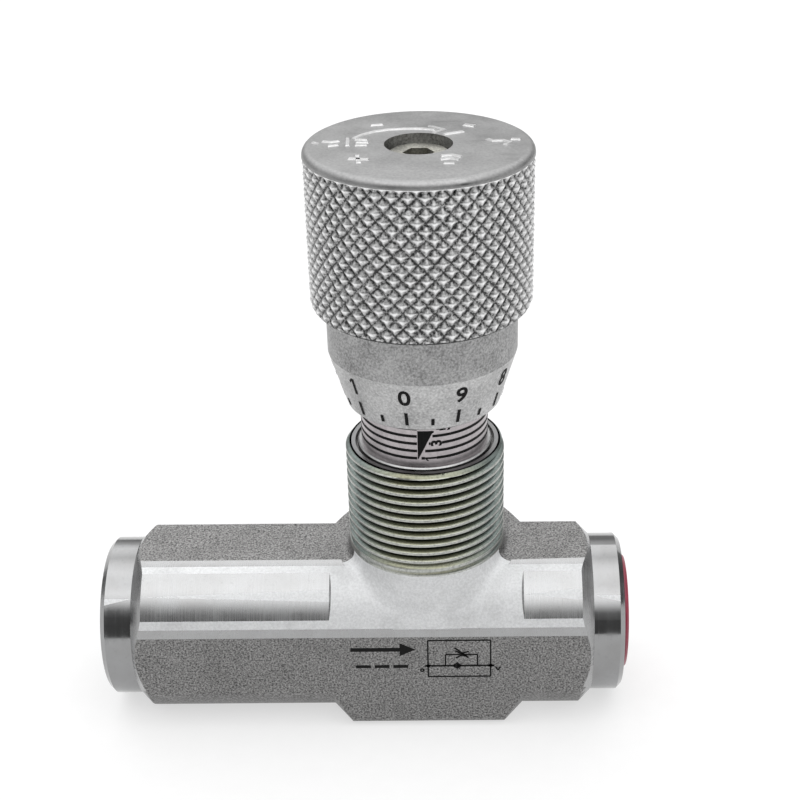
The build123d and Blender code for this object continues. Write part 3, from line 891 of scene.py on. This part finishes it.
def make_scale():
    """Rings round the sleeve, one per turn, with an index triangle and turned figures."""
    marks = Marks()

    def on_sleeve(z):
        return SLEEVE_R

    for ring in range(RINGS):
        start, stop = RING_START + INDEX_ANGLE, 2 * pi + INDEX_ANGLE - RING_END
        if ring < INDEX_RINGS:
            start = INDEX_ANGLE + (EDGE_START + EDGE_RISE * ring / 4) / SLEEVE_R
        arcs = [(start, stop)]
        if ring + 1 in SCALE_FIGURES:
            middle = radians(SCALE_FIGURES[ring + 1])
            arcs = [(start, middle - FIGURE_GAP), (middle + FIGURE_GAP, stop)]
        for low, high in arcs:
            if len(arcs) > 1 and high - low <= SHORTEST_ARC:
                continue
            points, faces = bar(low * SLEEVE_R, -RING_WIDTH / 2, high * SLEEVE_R, RING_WIDTH / 2,
                                (max(2, int((high - low) / radians(4))), 1))
            marks.add(wrap(points, 0.0, FIRST_RING + PITCH * ring, on_sleeve), faces)
    points, faces = sliced(INDEX_TRIANGLE, 6)
    marks.add(wrap(points, INDEX_ANGLE, INDEX_TIP, on_sleeve), faces)
    for number, angle in SCALE_FIGURES.items():
        points, faces = text_mesh(str(number), FIGURE_HEIGHT, pi / 2, FIGURE_BOLD)
        z = FIRST_RING + PITCH * (number - 1)
        marks.add(wrap(points, radians(angle), z, on_sleeve), faces)
    return marks.piece("scale_marks", "valve_body", INK)


# ---------------------------------------------------------------- symbol on the front flat
LINE = 0.24
BOX = (0.1, 10.15, -3.3, 3.83)       # left, right, low and high of the symbol's frame
MAIN_Z = -1.15                       # its flow line
BYPASS = (2.9, 8.05, 1.05)           # left, right and height of the bypass round the check valve


MIDDLE = (BOX[0] + BOX[1]) / 2 + 0.25            # middle of the throttle
# points from the middle of the throttle
UPPER_LIP = ((-0.9, 0.75), (0.0, 0.2), (1.3, 0.6))
LOWER_LIP = ((-0.8, -0.65), (0.0, -0.2), (1.0, -0.3))
SETTING_ARROW = ((-1.0, 1.35), (1.2, -0.6))
# points from under it, on the flow line
BALL_X, BALL_R = -0.75, 0.36
BALL_SEAT = ((-0.7, 0.6), (0.05, 0.0), (-0.7, -0.6))
# port marks: diamonds on the frame, a ring on the left and a tick on the right, from the frame's sides
PORT_DIAMOND = (0.55, 0.36)
LEFT_RING = (-0.95, -0.85, 0.27)
RIGHT_TICK = ((0.8, -0.25), (1.2, -0.95), (1.6, -0.25))
# flow arrow and dashes
SHAFT = (-12.3, 1.75, -4.4, 2.45)
HEAD = ((-4.4, 0.85), (-1.9, 2.1), (-4.4, 3.35))
DASHES = (-11.5, -8.5, -5.5)
DASH_LENGTH, DASH_LOW, DASH_HIGH = 2.4, -1.5, -0.95


def moved(points, x, z):
    return [(x + px, z + pz) for px, pz in points]


class FrontMarks(Marks):
    """Flat marks on the front flat, drawn in x and height over the port axis."""

    def lay(self, points, faces):
        self.add([(x, -HALF_FLAT - out, PORT_Z + z) for x, z, out in points], faces)

    def line(self, x0, z0, x1, z1, width=LINE):
        length = hypot(x1 - x0, z1 - z0)
        across = (-(z1 - z0) / length * width / 2, (x1 - x0) / length * width / 2)
        self.lay(*poly([(x0 + across[0], z0 + across[1]), (x0 - across[0], z0 - across[1]),
                        (x1 - across[0], z1 - across[1]), (x1 + across[0], z1 + across[1])]))

    def path(self, *corners):
        for (x0, z0), (x1, z1) in zip(corners, corners[1:]):
            self.line(x0, z0, x1, z1)

    def ring(self, x, z, radius, sides=10):
        corners = [(x + radius * cos(2 * pi * k / sides), z + radius * sin(2 * pi * k / sides))
                   for k in range(sides + 1)]
        self.path(*corners)

    def diamond(self, x, z, half_length, half_height):
        self.lay(*poly([(x - half_length, z), (x, z - half_height), (x + half_length, z),
                        (x, z + half_height)]))


def make_symbol():
    """The usual diagram of a throttle with a check valve beside it, in a frame."""
    marks = FrontMarks()
    left, right, low, high = BOX
    marks.path((left, low), (right, low), (right, high), (left, high), (left, low))
    marks.line(left - 0.5, MAIN_Z, right + 0.6, MAIN_Z, 1.3 * LINE)
    first, last, top = BYPASS
    marks.path((first, MAIN_Z), (first, top), (last, top), (last, MAIN_Z))
    # throttle: two curved lips on the bypass and a slanted setting arrow
    marks.path(*moved(UPPER_LIP, MIDDLE, top))
    marks.path(*moved(LOWER_LIP, MIDDLE, top))
    (x0, z0), (x1, z1) = moved(SETTING_ARROW, MIDDLE, top)
    marks.line(x0, z0, x1, z1, 1.2 * LINE)
    # check valve: a ball against its seat
    marks.ring(MIDDLE + BALL_X, MAIN_Z, BALL_R)
    marks.path(*moved(BALL_SEAT, MIDDLE, MAIN_Z))
    for side in (left, right):
        marks.diamond(side, MAIN_Z, *PORT_DIAMOND)
    x, z, radius = LEFT_RING
    marks.ring(left + x, MAIN_Z + z, radius)
    marks.path(*moved(RIGHT_TICK, right, MAIN_Z))
    return marks.piece("flow_symbol", "valve_body", INK)


def make_flow_mark():
    """A plain flow arrow over a row of dashes, left of the symbol."""
    marks = FrontMarks()
    marks.lay(*bar(*SHAFT))
    marks.lay(*poly(HEAD))
    for x in DASHES:
        marks.lay(*bar(x, DASH_LOW, x + DASH_LENGTH, DASH_HIGH))
    return marks.piece("flow_mark", "valve_body", INK)


# ---------------------------------------------------------------- raised marks on the knob
MARKS = plain_metal("raised_marks", grey(0.62), 0.4, 2400.0, 0.006)
MARK_HEIGHT = 0.16
MARK_BEVEL = 0.12
TURNING_ARROW = ((-9.4, 2.4), (-8.2, 4.2), (-6.6, 5.6), (-4.6, 6.5), (-2.2, 6.9), (0.3, 6.8),
                 (2.4, 6.2))
# width and path of each raised stroke
STROKES = (
    (0.75, TURNING_ARROW),
    (0.7, ((1.4, 8.2), (3.7, 6.2), (2.0, 4.9))),
    (0.8, ((3.5, 3.9), (6.5, 5.3))),
    (1.0, ((6.5, 8.6), (8.2, 7.8))),
    (0.7, ((-7.3, 8.6), (-5.4, 9.0))),
    (0.7, ((-15.3, 0.8), (-14.4, 0.1))),
    (0.7, ((-13.9, 1.2), (-12.6, 0.8), (-11.4, 1.3))),
    (0.7, ((-13.0, -1.0), (-11.4, -0.5))),
    (0.7, ((-10.3, 2.7), (-10.1, -1.0))),
    (0.7, ((-9.2, 1.9), (-7.3, 1.7))),
    (0.7, ((-9.0, 0.6), (-7.1, 0.5))),
    (0.7, ((-9.1, -0.8), (-7.3, -0.7))),
    (0.8, ((-9.7, -6.7), (-6.7, -7.1))),
    (0.8, ((-8.5, -5.2), (-8.1, -8.6))),
    (0.8, ((3.2, -5.9), (4.8, -5.5), (6.2, -6.3))),
    (0.8, ((3.1, -7.4), (4.6, -6.9), (5.9, -7.6))),
    (0.8, ((3.6, -8.9), (5.2, -9.0))),
    (0.8, ((9.8, 1.6), (10.6, 0.8), (12.2, 0.9), (13.1, 0.0), (12.3, -1.1))),
    (0.8, ((13.2, 1.5), (14.7, 1.3))),
)


def stroke_points(path, width):
    """Cross-sections of a bevelled raised stroke along a path on the knob's top."""
    points = []
    for index, (x, y) in enumerate(path):
        before = Vector(path[max(index - 1, 0)])
        after = Vector(path[min(index + 1, len(path) - 1)])
        along = (after - before).normalized()
        inset = MARK_BEVEL if index in (0, len(path) - 1) else 0.0
        back = inset if index == 0 else -inset
        for side, height in ((-1, -0.02), (-1, MARK_HEIGHT), (1, MARK_HEIGHT), (1, -0.02)):
            reach = side * (width / 2 - (MARK_BEVEL if height > 0 else 0.0))
            shift = back if height > 0 else 0.0
            points.append((x - along.y * reach + along.x * shift,
                           y + along.x * reach + along.y * shift, KNOB_TOP + height))
    return points


def make_knob_marks():
    """Raised cast marks on the knob's top: a turning arrow, a plus and plain strokes."""
    marks = Marks()
    for width, path in STROKES:
        last = 4 * (len(path) - 1)
        faces = grid_faces(len(path), 4, wrap=True)
        faces += [(0, 1, 2, 3), tuple(last + i for i in (3, 2, 1, 0))]
        marks.add(stroke_points(path, width), faces)
    return marks.piece("knob_marks", "knob_set", MARKS)


# ---------------------------------------------------------------- the rest of the pieces
# finish of every CAD node that stays
FINISH_OF = {
    "bonnet": "machined_steel",
    "bonnet_oring": "seal_rubber",
    "bonnet_backup_ring": "backup_plastic",
    "scale_sleeve": "sleeve_aluminium",
    "throttle_seat": "hardened_steel",
    "spindle": "hardened_steel",
    "spindle_stop_ring": "spring_steel",
    "spindle_oring": "seal_rubber",
    "spindle_backup_ring": "backup_plastic",
    "knob_screw": "plated_screw",
    "knob_washer": "plated_screw",
    "knob_grub_screw": "plated_screw",
    "check_seat": "hardened_steel",
    "check_poppet": "hardened_steel",
    "check_spring": "spring_steel",
    "spring_seat": "machined_steel",
    "retaining_ring": "spring_steel",
    "port_plug": "red_plastic",
}


def paint_nodes():
    for name, finish in FINISH_OF.items():
        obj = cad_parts[name]
        for holder in obj.material_slots:
            holder.material = FINISHES[finish]
        if not obj.material_slots:
            obj.data.materials.append(FINISHES[finish])


# ---------------------------------------------------------------- light, floor and camera
FLOOR_HALF = 3.0         # metres
WHITE = (1.0, 1.0, 1.0)

# brightness of the room over the elevation angle in degrees, from the front over the top to the back
ROOM = [(0, 0.05), (22, 0.05), (32, 0.13), (40, 0.5), (48, 0.85), (57, 1.0), (72, 0.85), (90, 0.95),
        (104, 0.85), (118, 0.6), (130, 0.74), (142, 0.84), (152, 0.4), (165, 0.15), (180, 0.15)]
ROOM_STRENGTH = 2.5


def make_floor():
    half = FLOOR_HALF
    floor = bpy.data.meshes.new("floor")
    floor.from_pydata([(-half, -half, 0), (half, -half, 0), (half, half, 0), (-half, half, 0)], [],
                      [(0, 1, 2, 3)])
    s = Shader("floor_paper")
    fibres = s.noise(300.0, 3.0)
    s.finish(s.ramp(fibres, [(0.3, grey(0.30)), (0.7, grey(0.31))]), 0.0, 0.9, s.bump(fibres, 0.004),
             {"Emission Color": (*WHITE, 1.0), "Emission Strength": 0.6})
    floor.materials.append(s.material)
    obj = bpy.data.objects.new("floor", floor)
    bpy.context.scene.collection.objects.link(obj)


def make_room():
    """Soft light that varies with the elevation angle, as in a tent with dark gaps."""
    world = bpy.data.worlds.new("studio")
    bpy.context.scene.world = world
    world.use_nodes = True
    s = Nodes(world.node_tree)
    x, y, z = s.split(s.new("ShaderNodeTexCoord").outputs["Generated"])
    angle = s.math("ARCTAN2", z, s.math("MULTIPLY", y, -1.0))
    # the far left sees the dark lower part of the room higher up
    drop = s.spread(x, 0.0, 8.0 / 180, -0.09, -0.2)
    share = s.math("SUBTRACT", s.math("DIVIDE", angle, pi), drop)
    light = s.ramp(share, [(degree / 180, grey(value)) for degree, value in ROOM])
    # darker towards both sides
    shade = s.spread(s.math("ABSOLUTE", x), 1.0, 0.4, 0.45, 0.85)
    scale = s.new("ShaderNodeVectorMath", operation="SCALE")
    s.join(light, scale.inputs[0])
    s.join(shade, scale.inputs["Scale"])
    # plain white behind the object, whatever the light
    seen = s.new("ShaderNodeLightPath").outputs["Is Camera Ray"]
    background = s.tree.nodes["Background"]
    background.inputs["Strength"].default_value = ROOM_STRENGTH
    s.join(s.mix(seen, scale.outputs[0], WHITE), background.inputs[0])


# the solved view: bearing, tilt and roll in degrees, lengths in millimetres, the rest in pixels
AZIMUTH, PITCH_DOWN, ROLL = 0.308, 28.716, -0.659
TARGET = (4.367, 0.0, 32.883 + PORT_Z)
DISTANCE = 242.095
IMAGE = 800
FOCAL = 1532.6
SHIFT = (-52.5, 39.8)
SENSOR = 36.0


def make_camera():
    azimuth, pitch, roll = radians(AZIMUTH), radians(PITCH_DOWN), radians(ROLL)
    target = Vector(TARGET) * MM
    distance = DISTANCE * MM
    ahead = Vector((-sin(azimuth) * cos(pitch), cos(azimuth) * cos(pitch), -sin(pitch)))
    right = Vector((cos(azimuth), sin(azimuth), 0.0))
    up = right.cross(ahead)
    right_rolled = cos(roll) * right + sin(roll) * up
    up_rolled = -sin(roll) * right + cos(roll) * up
    data = bpy.data.cameras.new("camera")
    data.sensor_width = SENSOR
    data.lens = FOCAL / IMAGE * SENSOR
    data.shift_x = SHIFT[0] / IMAGE
    data.shift_y = SHIFT[1] / IMAGE
    data.clip_start = 0.01
    obj = bpy.data.objects.new("camera", data)
    bpy.context.scene.collection.objects.link(obj)
    turn = Matrix((right_rolled, up_rolled, -ahead)).transposed()
    obj.matrix_world = Matrix.Translation(target - ahead * distance) @ turn.to_4x4()
    bpy.context.scene.camera = obj


make_body()
make_knob()
make_dial()
make_scale()
make_symbol()
make_flow_mark()
make_knob_marks()
paint_nodes()
make_floor()
make_room()
make_camera()
bpy.context.scene.view_settings.view_transform = "Standard"
